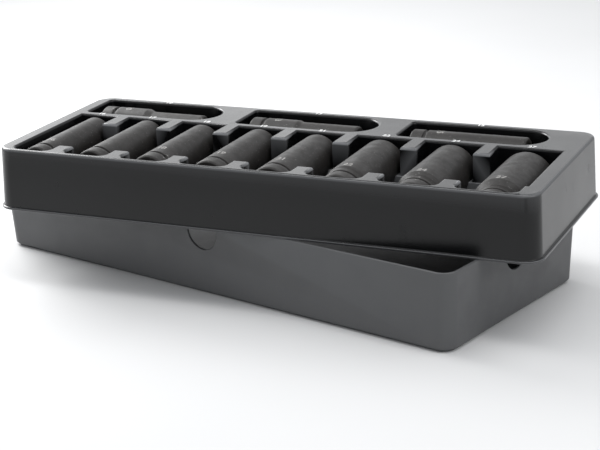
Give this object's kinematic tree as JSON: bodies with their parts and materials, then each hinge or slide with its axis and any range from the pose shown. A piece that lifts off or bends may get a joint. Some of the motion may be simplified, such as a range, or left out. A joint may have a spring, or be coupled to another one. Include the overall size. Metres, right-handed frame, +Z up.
{
  "type": "socket organizer drawer box",
  "caption": "Open plastic drawer box with thumb notches, and a moulded tray with cradles that holds deep impact sockets beside their size numbers.",
  "frame": {"origin": "middle of the box's underside, on the surface it stands on", "axes": "+X along the box's length, +Y towards its back long wall, +Z up; the tray lies turned about Z on the rim"},
  "size_m": [0.4308, 0.2388, 0.0961],
  "materials": {
    "box_plastic": "fine moulded grain, matte",
    "tray_plastic": "semi-gloss, thermoformed",
    "socket_steel": "black phosphate, satin"
  },
  "bodies": {
    "drawer_box": {"drawer_box": "box_plastic"},
    "organizer_tray": {"organizer_tray": "tray_plastic"},
    "socket_10": {"socket_10": "socket_steel"},
    "socket_13": {"socket_13": "socket_steel"},
    "socket_15": {"socket_15": "socket_steel"},
    "socket_16": {"socket_16": "socket_steel"},
    "socket_17": {"socket_17": "socket_steel"},
    "socket_18": {"socket_18": "socket_steel"},
    "socket_19": {"socket_19": "socket_steel"},
    "socket_21": {"socket_21": "socket_steel"},
    "socket_22": {"socket_22": "socket_steel"},
    "socket_24": {"socket_24": "socket_steel"},
    "socket_27": {"socket_27": "socket_steel"}
  },
  "joints": [
    {"name": "tray_lift", "type": "slide", "parent": "drawer_box", "child": "organizer_tray", "axis": [0, 0, 1], "range_m": [0, 0.12]},
    {"name": "socket_10_lift", "type": "slide", "parent": "organizer_tray", "child": "socket_10", "axis": [0, 0, 1], "range_m": [0, 0.06]},
    {"name": "socket_13_lift", "type": "slide", "parent": "organizer_tray", "child": "socket_13", "axis": [0, 0, 1], "range_m": [0, 0.06]},
    {"name": "socket_15_lift", "type": "slide", "parent": "organizer_tray", "child": "socket_15", "axis": [0, 0, 1], "range_m": [0, 0.06]},
    {"name": "socket_16_lift", "type": "slide", "parent": "organizer_tray", "child": "socket_16", "axis": [0, 0, 1], "range_m": [0, 0.06]},
    {"name": "socket_17_lift", "type": "slide", "parent": "organizer_tray", "child": "socket_17", "axis": [0, 0, 1], "range_m": [0, 0.06]},
    {"name": "socket_18_lift", "type": "slide", "parent": "organizer_tray", "child": "socket_18", "axis": [0, 0, 1], "range_m": [0, 0.06]},
    {"name": "socket_19_lift", "type": "slide", "parent": "organizer_tray", "child": "socket_19", "axis": [0, 0, 1], "range_m": [0, 0.06]},
    {"name": "socket_21_lift", "type": "slide", "parent": "organizer_tray", "child": "socket_21", "axis": [0, 0, 1], "range_m": [0, 0.06]},
    {"name": "socket_22_lift", "type": "slide", "parent": "organizer_tray", "child": "socket_22", "axis": [0, 0, 1], "range_m": [0, 0.06]},
    {"name": "socket_24_lift", "type": "slide", "parent": "organizer_tray", "child": "socket_24", "axis": [0, 0, 1], "range_m": [0, 0.06]},
    {"name": "socket_27_lift", "type": "slide", "parent": "organizer_tray", "child": "socket_27", "axis": [0, 0, 1], "range_m": [0, 0.06]}
  ]
}
